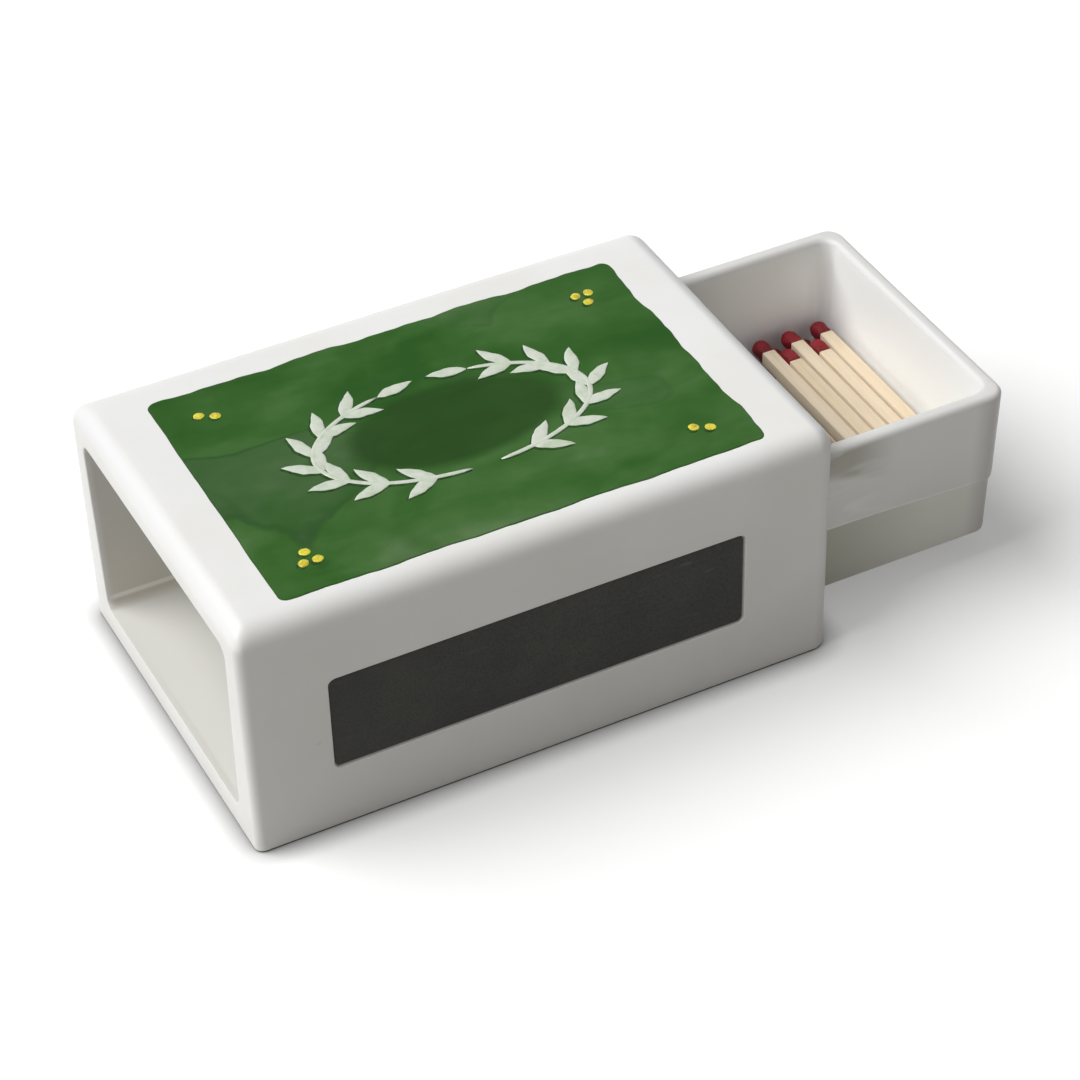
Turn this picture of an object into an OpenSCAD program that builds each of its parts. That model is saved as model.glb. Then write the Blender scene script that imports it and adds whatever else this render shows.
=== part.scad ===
// Porcelain match striker: a glazed sleeve open at both ends, with a striking strip let
// into its front side, and a glazed drawer of matches that slides through it.
// Millimetres. X runs along the sleeve, -Y is the side with the strip, Z is up.
// The origin is the middle of the sleeve's underside.

/* [Matches] */
// Length of one match, head included
match_len = 44; // [40:0.5:55]
// Thickness of the square stick
stick_t = 2.3; // [1.8:0.1:2.8]
// Length of the dipped head
head_len = 4.2; // [3:0.1:6]
// Thickness of the head's coat over the corners of the stick
head_coat = 0.1; // [0.05:0.05:0.4]
// Matches side by side in one layer
match_cols = 5; // [3:1:6]
// Layers of matches in the pile
match_rows = 4; // [2:1:4]
// Clearance between a head and the sticks beside it
match_gap = 0.25; // [0.1:0.05:0.6]
// Clearance between a head and the sticks above and below it
layer_gap = 0.1; // [0.05:0.05:0.3]
// Clearance from the matches to the drawer's walls
match_play = 1; // [0.7:0.05:1.5]

/* [Drawer] */
// Outer height of the drawer
drawer_h = 32.1; // [26:0.1:40]
// Thickness of the drawer's walls
drawer_wall = 3.1; // [2.4:0.1:4.5]
// Thickness of the drawer's floor
drawer_floor = 3.8; // [2.5:0.1:6]
// Lean of the drawer's walls, in degrees
draft = 2; // [0.5:0.1:3.5]
// Plan radius of the drawer's outer corners at the rim
drawer_corner = 4.8; // [4.5:0.1:8]
// Plan radius of the drawer's inner corners at the floor
tray_corner = 3; // [2:0.1:4]
// Radius between the inner walls and the floor
tray_fillet = 1.5; // [0.8:0.1:1.8]
// Rounding of both edges of the rim
rim_round = 1.1; // [0.5:0.1:1.3]
// Rounding of the drawer's bottom edge
foot_round = 1.8; // [0.8:0.1:2.5]
// Height of the mould step on the outside of the walls
step_height = 13; // [8:0.5:20]
// Depth of the mould step
step_depth = 0.4; // [0.2:0.05:0.7]
// How far the drawer's ends stay inside the sleeve's ends when it is shut
drawer_inset = 1; // [0.5:0.1:3]
// How far the drawer is pulled out
drawer_out = 39.4; // [0:0.1:60]

/* [Sleeve] */
// Length of the sleeve
sleeve_len = 110; // [90:1:135]
// Thickness of the sleeve's side walls
sleeve_side = 5.5; // [4.4:0.1:8]
// Thickness of the sleeve's floor
sleeve_floor = 5.2; // [4.2:0.1:8]
// Thickness of the sleeve's roof
sleeve_roof = 6.5; // [5.2:0.1:9]
// Rounding of the sleeve's long upper edges
edge_round = 3.2; // [2.6:0.1:4]
// Rounding of the sleeve's edges at both ends
end_round = 2; // [1:0.1:2.4]
// Plan radius in the corners of the tunnel
tunnel_corner = 2; // [1:0.1:3]
// Rounding of the lip round each mouth of the tunnel
lip_round = 1.2; // [0.8:0.1:2.3]
// Clearance from the drawer to each side of the tunnel
side_gap = 0.55; // [0.3:0.05:1]
// Clearance under the drawer
slide_gap = 0.2; // [0.1:0.05:0.4]
// Clearance from the drawer's rim to the tunnel's ceiling
head_room = 3; // [1:0.1:6]

/* [Striking strip] */
// Length of the strip
strip_len = 76; // [50:0.5:90]
// Height of the strip
strip_h = 18.8; // [12:0.1:24]
// Thickness of the strip
strip_t = 0.5; // [0.3:0.05:0.8]
// Radius of the strip's corners
strip_corner = 1; // [0.5:0.1:2]
// How deep the strip's face lies under the glaze around it
strip_sink = 0.15; // [0.05:0.05:0.3]
// Clearance round the strip in its recess
strip_gap = 0.2; // [0.1:0.05:0.4]
// Distance of the strip's middle from the middle of the sleeve
strip_shift = -0.9; // [-5:0.1:5]
// Drop of the strip's middle below mid height
strip_drop = 1.1; // [0:0.1:3]

/* [Painted top] */
// Bare border at each end of the painted ground
border_end = 10.5; // [6:0.1:16]
// Bare border beside the strip's side
border_front = 4.1; // [3.5:0.1:8]
// Bare border along the back
border_back = 7.9; // [3.5:0.1:12]
// Thickness of the painted ground
ground_t = 0.2; // [0.1:0.05:0.4]
// Thickness of the painted garland and berries
paint_t = 0.15; // [0.1:0.05:0.4]
// Waver of the brush along the ground's edge
waver = 0.35; // [0.1:0.05:0.6]
// Half length of the garland
garland_long = 25; // [15:0.5:32]
// Half width of the garland
garland_wide = 13; // [8:0.5:18]
// Width of the garland's stem
stem_w = 0.9; // [0.5:0.1:1.6]
// Length of a leaf
leaf_len = 7.2; // [4:0.1:10]
// Width of a leaf
leaf_w = 2.4; // [1.5:0.1:4]
// Pairs of leaves on each branch
leaf_pairs = 7; // [4:1:9]
// Diameter of a berry
berry_d = 2; // [1.2:0.1:3]
// Distance of the corner berries from the edges of the painted ground
berry_inset = 7.5; // [5:0.5:10]

/* [Hidden] */
$fn = 48;
// Overshoot of a cutting shape past the face that it opens
cut = 0.5;
lean = tan(draft);

head_d = stick_t * sqrt(2) + 2 * head_coat;
stagger = head_len + 2 * match_gap;
col_pitch = (stick_t + head_d) / 2 + match_gap;
row_pitch = (stick_t + head_d) / 2 + layer_gap;
match_count = match_cols * match_rows;
// How far the matches' tips scatter along their length
nudge = 0.2;

tray_depth = drawer_h - drawer_floor;
tray_w = match_len + stagger + 2 * match_play;
rim_w = tray_w + 2 * tray_depth * lean;
drawer_w = rim_w + 2 * drawer_wall;
drawer_len = sleeve_len - 2 * drawer_inset;
tray_len = drawer_len - 2 * drawer_wall - 2 * tray_depth * lean;
rim_corner = tray_corner + tray_depth * lean;

tunnel_w = drawer_w + 2 * side_gap;
tunnel_h = drawer_h + slide_gap + head_room;
sleeve_w = tunnel_w + 2 * sleeve_side;
sleeve_h = sleeve_floor + tunnel_h + sleeve_roof;
drawer_x = drawer_out;
drawer_z = sleeve_floor + slide_gap;

strip_z = sleeve_h / 2 - strip_drop;
ground_len = sleeve_len - 2 * border_end;
ground_w = sleeve_w - border_front - border_back;
ground_y = (border_front - border_back) / 2;
// Plan radius of the painted ground's corners
ground_corner = 1.2;
paint_z = sleeve_h + ground_t;

function two_digits(n) = n < 10 ? str("0", n) : str(n);
function stick_name(n) = str("match_stick_", two_digits(n));
function head_name(n) = str("match_head_", two_digits(n));

// Carries a half profile, drawn outwards from X = 0 and up Y, round a rounded rectangle
// whose corner centres lie at +-x, +-y, and fills the middle from one height to another.
// The centres are kept to a thousandth, so that straight runs and corners meet exactly.
module around(x, y, bottom, top) {
    cx = round(1000 * x) / 1000;
    cy = round(1000 * y) / 1000;
    for (turn = [0, 180]) {
        rotate([0, 0, turn]) {
            translate([cx, cy, 0]) rotate_extrude(angle = 90) children();
            translate([-cx, cy, 0]) rotate([0, 0, 90]) rotate_extrude(angle = 90) children();
        }
    }
    rotate([90, 0, 0]) linear_extrude(2 * cy, center = true) span(cx, bottom, top) children();
    rotate([90, 0, 90]) linear_extrude(2 * cx, center = true) span(cy, bottom, top) children();
}

// The whole section between two sides that carry the half profile. A lower bar laps into
// both sides, so that the section is one face.
module span(reach, bottom, top) {
    lap = 0.5;
    lower = (top - bottom) / 8;
    translate([reach, 0]) children();
    mirror([1, 0]) translate([reach, 0]) children();
    translate([-reach, bottom]) square([2 * reach, top - bottom]);
    translate([-reach - lap, bottom + lower]) square([2 * (reach + lap), top - bottom - 2 * lower]);
}

// A flat rounded rectangle about the origin.
module rounded_rect(length, width, r) {
    square([length - 2 * r, width], center = true);
    square([length, width - 2 * r], center = true);
    for (x = [-1, 1], y = [-1, 1]) {
        translate([x * (length / 2 - r), y * (width / 2 - r)]) circle(r);
    }
}

// The sleeve's outer half profile: a straight edge with a quarter round at both ends.
module sleeve_profile() {
    reach = sleeve_len / 2 - end_round;
    flat = edge_round - end_round;
    translate([0, -reach]) square([edge_round, 2 * reach]);
    translate([0, -sleeve_len / 2]) square([flat, sleeve_len]);
    for (end = [0, 1]) {
        mirror([0, end]) translate([flat, -reach]) lower_round(end_round);
    }
}

// The tunnel's half profile: straight, and flared round the lip at both mouths.
module tunnel_profile() {
    half = sleeve_len / 2;
    flare = tunnel_corner + lip_round;
    translate([0, -half - cut]) square([tunnel_corner, 2 * (half + cut)]);
    for (end = [0, 1]) {
        mirror([0, end]) difference() {
            translate([0, half - lip_round]) square([flare, lip_round + cut]);
            translate([flare, half - lip_round]) circle(lip_round);
        }
    }
}

// One cast piece: a block with soft upper edges, bored through by the tunnel. It is cast
// deeper than it stands, and ground off flat at the foot.
module sleeve() {
    ground_off = 2 * edge_round;
    color("white") difference() {
        translate([0, 0, (sleeve_h - ground_off) / 2]) rotate([0, 90, 0])
            around((sleeve_h + ground_off) / 2 - edge_round, sleeve_w / 2 - edge_round,
                -sleeve_len / 2, sleeve_len / 2)
                sleeve_profile();
        translate([-sleeve_len, -sleeve_w, -2 * ground_off])
            cube([2 * sleeve_len, 2 * sleeve_w, 2 * ground_off]);
        translate([0, 0, sleeve_floor + tunnel_h / 2]) rotate([0, 90, 0])
            around(tunnel_h / 2 - tunnel_corner, tunnel_w / 2 - tunnel_corner,
                -sleeve_len / 2 - cut, sleeve_len / 2 + cut)
                tunnel_profile();
        strip_place() linear_extrude(strip_t + strip_sink + cut)
            rounded_rect(strip_len + 2 * strip_gap, strip_h + 2 * strip_gap, strip_corner + strip_gap);
    }
}

// Puts a flat shape on the floor of the recess in the sleeve's front side, facing out.
module strip_place() {
    translate([strip_shift, -sleeve_w / 2 + strip_t + strip_sink, strip_z]) rotate([90, 0, 0]) children();
}

module striking_strip() {
    color("dimgray") strip_place() linear_extrude(strip_t) rounded_rect(strip_len, strip_h, strip_corner);
}

// Edge of the painted ground, walked once round: a rounded rectangle whose edge wavers.
function ground_edge(t) =
    let (
        c = cos(t),
        s = sin(t),
        wide = ground_len / 2 - ground_corner,
        deep = ground_w / 2 - ground_corner,
        k = 1 / max(abs(c) / wide, abs(s) / deep),
        drift = ground_corner - waver + waver * (0.6 * sin(7 * t + 40) + 0.4 * sin(17 * t))
    )
    [k * c * (1 + drift / wide), ground_y + k * s * (1 + drift / deep)];

module painted_ground() {
    color("darkgreen") translate([0, 0, sleeve_h]) linear_extrude(ground_t)
        polygon([for (t = [0 : 3 : 357]) ground_edge(t)]);
}

// A point of the oval that the garland follows, and the direction of its stem there.
function oval(t) = [garland_long * cos(t), ground_y + garland_wide * sin(t)];
function oval_heading(t) = atan2(garland_wide * cos(t), -garland_long * sin(t));

// A leaf lies along X from the origin: the part that two equal circles share.
module leaf() {
    r = (pow(leaf_len, 2) + pow(leaf_w, 2)) / (4 * leaf_w);
    translate([leaf_len / 2, 0]) intersection() {
        translate([0, leaf_w / 2 - r]) circle(r, $fn = 96);
        translate([0, r - leaf_w / 2]) circle(r, $fn = 96);
    }
}

// One branch of the garland, from the front of the oval round to near its back: a stem
// with leaves in pairs and one leaf at its tip.
module branch() {
    first = -84;
    last = 70;
    first_pair = -70;
    spread = 34;
    stem = [for (t = [first : 7 : last]) t];
    function beside(t, side) =
        oval(t) + side * stem_w / 2 * [-sin(oval_heading(t)), cos(oval_heading(t))];
    polygon(concat(
        [for (t = stem) beside(t, 1)],
        [for (i = [len(stem) - 1 : -1 : 0]) beside(stem[i], -1)]
    ));
    for (pair = [0 : leaf_pairs - 1]) {
        t = first_pair + pair * (last - first_pair) / leaf_pairs;
        for (side = [-1, 1]) translate(oval(t)) rotate(oval_heading(t) + side * spread) leaf();
    }
    translate(oval(last)) rotate(oval_heading(last)) leaf();
}

module painted_garland() {
    color("honeydew") translate([0, 0, paint_z]) linear_extrude(paint_t) {
        branch();
        mirror([1, 0]) branch();
    }
}

// Berries lie in threes in two opposite corners of the ground and in twos in the others.
module painted_berries() {
    across = ground_len / 2 - berry_inset;
    up = ground_w / 2 - berry_inset;
    apart = 1.25 * berry_d;
    color("gold") for (side = [-1, 1]) {
        trio = [[side * across, side * up], [side * (across - apart), side * up],
            [side * (across - apart / 2), side * (up - apart)]];
        duo = [[-side * across, side * up], [-side * (across - apart), side * (up - apart / 2)]];
        for (place = concat(trio, duo)) {
            translate([place[0], ground_y + place[1], paint_z]) cylinder(h = paint_t, d = berry_d);
        }
    }
}

// A quarter disc below and outside its centre, which rounds a profile's lower corner.
module lower_round(r) {
    intersection() {
        circle(r);
        translate([0, -2 * r]) square(2 * r);
    }
}

// The drawer's outer half profile, with u the reach of the leaning wall at a height.
function wall_reach(v) = drawer_corner - (drawer_h - v) * lean;

module drawer_profile() {
    rim_v = drawer_h - rim_round;
    rim_reach = wall_reach(rim_v) - rim_round;
    foot_reach = wall_reach(foot_round) - step_depth - foot_round;
    polygon([
        [0, 0],
        [foot_reach, 0],
        [foot_reach + foot_round, foot_round],
        [wall_reach(step_height) - step_depth, step_height],
        [wall_reach(step_height + step_depth), step_height + step_depth],
        [rim_reach + rim_round, rim_v],
        [rim_reach, rim_v],
        [rim_reach, drawer_h],
        [0, drawer_h]
    ]);
    translate([rim_reach, rim_v]) mirror([0, 1]) lower_round(rim_round);
    translate([foot_reach, foot_round]) lower_round(foot_round);
}

// The tray's half profile: filleted at the floor, leaning, and flared at the rim.
function tray_reach(v) = tray_corner + (v - drawer_floor) * lean;

module tray_profile() {
    fillet_v = drawer_floor + tray_fillet;
    fillet_reach = tray_reach(fillet_v) - tray_fillet;
    flare_v = drawer_h - rim_round;
    flare_reach = tray_reach(flare_v) + rim_round;
    polygon([
        [0, drawer_floor],
        [fillet_reach, drawer_floor],
        [fillet_reach + tray_fillet, fillet_v],
        [flare_reach - rim_round, flare_v],
        [0, drawer_h]
    ]);
    translate([fillet_reach, fillet_v]) lower_round(tray_fillet);
    difference() {
        translate([0, flare_v]) square([flare_reach, rim_round + cut]);
        translate([flare_reach, flare_v]) circle(rim_round);
    }
}

// One cast piece: an open tray with leaning walls and a soft rim.
module drawer() {
    color("whitesmoke") translate([drawer_x, 0, drawer_z]) difference() {
        around(drawer_len / 2 - drawer_corner, drawer_w / 2 - drawer_corner, 0, drawer_h)
            drawer_profile();
        around(drawer_len / 2 - drawer_wall - rim_corner, rim_w / 2 - rim_corner, drawer_floor, drawer_h + cut)
            tray_profile();
    }
}

// Place of a match's tip. Matches are numbered along a layer from the sleeve outwards, and
// layer by layer upwards. Every second one stands forward, so that the heads interleave.
function match_tip(n) =
    let (
        col = (n - 1) % match_cols,
        row = floor((n - 1) / match_cols),
        forward = (match_cols - 1 - col + match_rows - 1 - row) % 2
    )
    [
        drawer_x + tray_len / 2 - match_play - head_d / 2 - (match_cols - 1 - col) * col_pitch,
        tray_w / 2 - match_play - forward * stagger - nudge * (1 + sin(137 * n)) / 2,
        drawer_z + drawer_floor + head_d / 2 + layer_gap + row * row_pitch
    ];

module match_stick(n) {
    bare = match_len - head_d / 2;
    color("wheat") translate(match_tip(n) - [stick_t / 2, match_len, stick_t / 2]) cube([stick_t, bare, stick_t]);
}

// A head is a dipped coat round the end of the stick, with a round tip.
module match_head(n) {
    color("firebrick") difference() {
        translate(match_tip(n)) rotate([90, 0, 0]) {
            translate([0, 0, head_d / 2]) cylinder(h = head_len - head_d / 2, d = head_d);
            translate([0, 0, head_d / 2]) sphere(d = head_d);
        }
        match_stick(n);
    }
}

sleeve();
striking_strip();
painted_ground();
painted_garland();
painted_berries();
drawer();
for (n = [1 : match_count]) {
    match_stick(n);
    match_head(n);
}
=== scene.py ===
"""A porcelain match striker: the looks of its sleeve, painted top, strip, drawer and matches.
Metres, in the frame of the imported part. X runs along the sleeve, -Y is the strip's side."""
import bpy
import numpy as np
from mathutils import Matrix, Vector


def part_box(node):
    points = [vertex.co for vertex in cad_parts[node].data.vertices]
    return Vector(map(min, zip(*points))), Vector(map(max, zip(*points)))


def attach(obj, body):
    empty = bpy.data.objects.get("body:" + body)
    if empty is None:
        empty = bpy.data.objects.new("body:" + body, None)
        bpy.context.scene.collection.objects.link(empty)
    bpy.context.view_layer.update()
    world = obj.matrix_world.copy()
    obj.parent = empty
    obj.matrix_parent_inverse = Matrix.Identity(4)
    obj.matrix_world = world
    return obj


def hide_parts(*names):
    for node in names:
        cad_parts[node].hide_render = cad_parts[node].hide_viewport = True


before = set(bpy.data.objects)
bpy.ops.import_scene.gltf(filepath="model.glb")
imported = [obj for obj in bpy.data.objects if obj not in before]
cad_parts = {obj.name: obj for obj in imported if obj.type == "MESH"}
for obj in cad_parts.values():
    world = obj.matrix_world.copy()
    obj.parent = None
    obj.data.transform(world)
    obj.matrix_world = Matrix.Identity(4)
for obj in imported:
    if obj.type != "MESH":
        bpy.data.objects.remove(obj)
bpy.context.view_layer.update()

# The camera looks down on the sleeve from in front and from its open left end. It is a long
# lens half a metre away, turned a little off level.
aim = Vector((0.0137, -0.0054, 0.0183))
distance = 0.5504
azimuth, elevation, roll = np.radians((-25.77, 39.67, -1.84))
lens_mm = 105.57
sensor_mm = 36

away = np.cos(elevation)
back = Vector((np.sin(azimuth) * away, -np.cos(azimuth) * away, np.sin(elevation)))
level = Vector((0, 0, 1)).cross(back).normalized()
upright = back.cross(level)
right = np.cos(roll) * level + np.sin(roll) * upright
above = np.cos(roll) * upright - np.sin(roll) * level
camera = bpy.data.objects.new("camera", bpy.data.cameras.new("camera"))
facing = Matrix((right, above, back)).transposed().to_4x4()
camera.matrix_world = Matrix.Translation(aim + back * distance) @ facing
camera.data.sensor_width = sensor_mm
camera.data.lens = lens_mm
camera.data.clip_start = 0.01
bpy.context.scene.collection.objects.link(camera)
bpy.context.scene.camera = camera

# The sleeve is one slip-cast piece, dipped in a soft white glaze. The mould's flat walls came
# out a little uneven, and its edges are rounded by the sponge that wiped the seams.
low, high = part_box("sleeve")
sleeve_half = np.array(((high.y - low.y) / 2, (high.z - low.z) / 2))
sleeve_end = high.x
side_wall = 0.0055
floor_wall = 0.0052
roof_wall = 0.0065
tunnel_half = sleeve_half - (side_wall, (floor_wall + roof_wall) / 2)
tunnel_middle = floor_wall + tunnel_half[1]
top_edge = 0.004
end_top_edge = 0.0036
left_side_edge = 0.0018
right_side_edge = 0.0034
foot_edge = 0.0006
tightest = 0.0003
tunnel_corner = 0.002
lip_deep = 0.002
lips = {
    "far": (0.0003, 0.0002),
    "near": (0.0008, 0.0006),
    "top": (0.0012, 0.001),
    "foot": (0.00012, 0.0001),
}
tunnel_draft = 0.043
uneven = 0.00026
uneven_wave = 0.021
even_foot = 0.006
askew = 0.0011
askew_from = 0.041


def round_trip(sides, corner_steps):
    """One walk round a four-cornered loop, as the corner behind, the corner ahead, the share of
    the way between them, and the heading of the outside. Each side has its own list of shares."""
    behind, ahead, share, heading = [], [], [], []
    turn = np.linspace(0, 1, corner_steps + 1)
    for k in range(4):
        behind += [np.full(turn.size + sides[k].size, k)]
        ahead += [np.full(turn.size, k), np.full(sides[k].size, (k + 1) % 4)]
        share += [np.zeros(turn.size), sides[k]]
        heading += [(k + turn) * np.pi / 2, np.full(sides[k].size, (k + 1) * np.pi / 2)]
    return [np.concatenate(column) for column in (behind, ahead, share, heading)]


def even_shares(*counts):
    """Shares of the way along each side, at so many even grid lines less the two at its ends."""
    return [np.linspace(0, 1, count)[1:-1] for count in counts]


def loops(trip, half, middle, radii):
    """Rounded rectangles, one for each row of half sizes, middles and four corner radii. A point
    lies its corner's radius out from the corner's centre, along the walk's heading, and on a
    side both are shared between the corners at its two ends."""
    behind, ahead, share, heading = trip
    outside = np.stack([np.cos(heading), np.sin(heading)], -1)
    signs = np.array([(1, 1), (-1, 1), (-1, -1), (1, -1)])
    centre = middle[:, None] + signs * (half[:, None] - radii[..., None])
    core = centre[:, behind] * (1 - share)[:, None] + centre[:, ahead] * share[:, None]
    radius = radii[:, behind] * (1 - share) + radii[:, ahead] * share
    return core + radius[..., None] * outside


def outward(grid, closed):
    """Unit normals of a grid whose rows are closed loops: the cross product of the steps along
    and across its rows, turned to point out of the form."""
    along = np.roll(grid, -1, 1) - np.roll(grid, 1, 1)
    across = np.roll(grid, -1, 0) - np.roll(grid, 1, 0) if closed else np.gradient(grid, axis=0)
    normal = np.cross(along, across)
    normal /= np.linalg.norm(normal, axis=-1, keepdims=True) + 1e-12
    volume = (grid * normal * np.linalg.norm(np.cross(along, across), axis=-1, keepdims=True)).sum()
    return normal * np.sign(volume)


def handwork(points):
    """Slow unevenness from -1 to 1: the mean of three sine waves that cross at odd angles."""
    x, y, z = np.moveaxis(points / uneven_wave, -1, 0)
    first = np.sin(1.3 * x + 0.7 * y + 0.9 * z + 0.4)
    second = np.sin(1.1 * y - 0.8 * x + 0.6 * z + 2.2)
    third = np.sin(0.5 * x + 1.6 * y - 1.2 * z + 4.1)
    return (first + second + third) / 3


def sunk(points):
    """How far the glaze lies inside the true block at a point: least at the foot, which is
    ground flat, and elsewhere up to the whole unevenness."""
    lifted = np.clip(points[..., 2] / even_foot, 0, 1)
    return uneven * (0.5 + 0.5 * handwork(points)) * lifted


def skin(name, grids, closed=False):
    """A mesh over grids of points whose rows are closed loops. A closed grid's last row joins
    its first, and any other grid's end rows close on a point in their middle. The faces are
    turned to point out of the form."""
    points, faces, base = [], [], 0
    for grid in grids:
        rows, around = grid.shape[:2]
        index = base + np.arange(rows * around).reshape(rows, around)
        here = [grid.reshape(-1, 3)]
        below = np.vstack([index, index[:1]]) if closed else index
        beside = np.roll(below, -1, 1)
        quads = np.stack([below[:-1], beside[:-1], beside[1:], below[1:]], -1)
        sheet = quads.reshape(-1, 4)
        ends = np.zeros((0, 3), int)
        if not closed:
            here += [grid[:1].mean(1), grid[-1:].mean(1)]
            tip = base + rows * around
            first = np.stack([np.full(around, tip), np.roll(index[0], -1), index[0]], -1)
            last = np.stack([np.full(around, tip + 1), index[-1], np.roll(index[-1], -1)], -1)
            ends = np.vstack([first, last])
        place = np.vstack(here)
        a, b, c, d = (place[sheet[:, k] - base] for k in range(4))
        inside_out = np.einsum("ij,ij->", a + c, np.cross(c - a, d - b)) < 0
        order = -1 if inside_out else 1
        faces += sheet[:, ::order].tolist() + ends[:, ::order].tolist()
        points.append(place)
        base += len(place)
    mesh = bpy.data.meshes.new(name)
    mesh.from_pydata(np.vstack(points).tolist(), [], faces)
    mesh.shade_smooth()
    piece = bpy.data.objects.new(name, mesh)
    bpy.context.scene.collection.objects.link(piece)
    return piece


def mark_inside(piece, share):
    """Keeps, at each point of a piece, how far it lies on the inside: 0 outside, 1 inside."""
    inside = piece.data.attributes.new("inside", "FLOAT", "POINT")
    inside.data.foreach_set("value", share.astype(np.float32))


def place_lines(start, end, count, edges):
    """Where grid lines lie along a side: evenly, and closely on the inner side of each edge of
    the strip's recess. An edge is its place and the direction that leads into the recess."""
    close = [place + inward * recess_lines for place, inward in edges]
    return np.unique(np.round(np.concatenate([np.linspace(start, end, count), *close]), 6))


def plane_box(low, high, axes):
    """Middle and half size of a box, along two axes."""
    ends = np.array([[getattr(corner, axis) for axis in axes] for corner in (low, high)])
    return (ends[0] + ends[1]) / 2, (ends[1] - ends[0]) / 2


# The recess is pressed into the front wall for the strip, a little larger than it all round.
strip_low, strip_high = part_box("striking_strip")
strip_middle, strip_half = plane_box(strip_low, strip_high, "xz")
recess_gap = 0.0002
recess_corner = 0.0012
recess_edge = 0.00016
recess_depth = strip_high.y + sleeve_half[0]
recess_middle = strip_middle + (0.00012, -0.00012)
recess_half = strip_half + recess_gap
recess_lines = np.linspace(-0.0005, 0.0016, 19)

reach = sleeve_end - end_top_edge
x_edges = [(recess_middle[0] - recess_half[0], 1), (recess_middle[0] + recess_half[0], -1)]
z_edges = [(recess_middle[1] - recess_half[1], 1), (recess_middle[1] + recess_half[1], -1)]
skin_x = place_lines(-reach, reach, 48, x_edges)
front_low, front_high = foot_edge, 2 * sleeve_half[1] - top_edge
front_z = place_lines(front_low, front_high, 20, z_edges)[1:-1]
front_shares = np.sort((front_high - front_z) / (front_high - front_low))
top_shares, foot_shares, back_shares = even_shares(34, 22, 22)
sleeve_trip = round_trip([top_shares, front_shares, foot_shares, back_shares], 8)

# The rows of an end: over its edge to the end face, then from the face into the tunnel.
end_x = reach + end_top_edge * np.sin(np.linspace(0, np.pi / 2, 15)[1:])
depth = lip_deep * np.linspace(0, 1, 18) ** 2.2
mouth_x = sleeve_end - depth
tunnel_x = np.linspace(mouth_x[-1], -mouth_x[-1], 34)[1:-1]
row_x = np.concatenate([skin_x, end_x, mouth_x, tunnel_x, -mouth_x[::-1], -end_x[::-1]])


def rounding(x, radius):
    """How far a quarter round draws the skin in, at each place along the sleeve."""
    over = np.clip(np.abs(x) - sleeve_end + radius, 0, radius)
    return radius - np.sqrt(np.maximum(radius**2 - over**2, 0))


def skin_loops(x):
    """Loops of the outside, drawn in by its own rounding at the top, the sides and the foot."""
    side_edge = np.where(x > 0, right_side_edge, left_side_edge)
    top, side, foot = (rounding(x, radius) for radius in (end_top_edge, side_edge, foot_edge))
    half = sleeve_half - np.stack([side, (top + foot) / 2], -1)
    middle = np.stack([np.zeros(x.size), sleeve_half[1] + (foot - top) / 2], -1)
    radii = np.stack([top_edge - top, top_edge - top, foot_edge - foot, foot_edge - foot], -1)
    return loops(sleeve_trip, half, middle, np.maximum(radii, tightest))


def tunnel_loops(x):
    """Loops of the tunnel, each side flared at the mouths by a quarter ellipse of its own. A lip
    is its depth along the tunnel and its flare."""
    inside = sleeve_end - np.abs(x)
    far, near, top, foot = (
        flare * (1 - np.sqrt(1 - np.clip(1 - inside / deep, 0, 1) ** 2))
        for deep, flare in lips.values()
    )
    half = tunnel_half + np.stack([far + near, top + foot], -1) / 2
    middle = np.stack([(far - near) / 2, tunnel_middle + (top - foot) / 2], -1)
    radii = tunnel_corner + np.stack([far + top, near + top, near + foot, far + foot], -1) / 2
    return loops(sleeve_trip, half, middle, radii)


section = np.concatenate([
    skin_loops(np.concatenate([skin_x, end_x])),
    tunnel_loops(np.concatenate([mouth_x, tunnel_x, -mouth_x[::-1]])),
    skin_loops(-end_x[::-1]),
])
grid_x = np.broadcast_to(row_x[:, None, None], section.shape[:2] + (1,))
sleeve_grid = np.concatenate([grid_x, section], -1)

# The tunnel narrows a little towards its floor, as the mould's core did. The walls take their
# unevenness, all but the mouths' crisp lips, and the left end was trimmed a little off square.
tunnel_rows = slice(skin_x.size + end_x.size, -end_x.size)
under_roof = tunnel_middle + tunnel_half[1] - sleeve_grid[tunnel_rows, :, 2]
deep_down = np.clip(under_roof / (2 * tunnel_half[1]), 0, 1)
sleeve_grid[tunnel_rows, :, 1] *= 1 - tunnel_draft * deep_down
lip_crisp = 0.0003
lip_blend = 0.0012
inner_share = np.clip((depth - lip_crisp) / lip_blend, 0, 1)


def along_rows(on_outside):
    """A value for each row of the sleeve: so much outside, then from 0 to 1 over a lip, and 1 in
    the tunnel."""
    start = np.full(skin_x.size + end_x.size, on_outside)
    end = np.full(end_x.size, on_outside)
    return np.concatenate([start, inner_share, np.ones(tunnel_x.size), inner_share[::-1], end])


pushed_in = sunk(sleeve_grid) * along_rows(1.0)[:, None]
sleeve_grid -= outward(sleeve_grid, True) * pushed_in[..., None]
near_left = np.clip((-sleeve_grid[..., 0] - askew_from) / (sleeve_end - askew_from), 0, 1)
sleeve_grid[..., 0] += askew * near_left * (0.5 - sleeve_grid[..., 1] / (2 * sleeve_half[0]))


def recess(points):
    """Depth of the recess under a point of the front wall, from its distance to the recess's
    rounded outline: full inside, none outside, with a soft shoulder between."""
    off = np.abs(points[..., [0, 2]] - recess_middle) - recess_half + recess_corner
    away = np.linalg.norm(np.maximum(off, 0), axis=-1) + np.minimum(off.max(-1), 0) - recess_corner
    step = np.clip(0.5 - away / recess_edge, 0, 1)
    return recess_depth * step * step * (3 - 2 * step)


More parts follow.
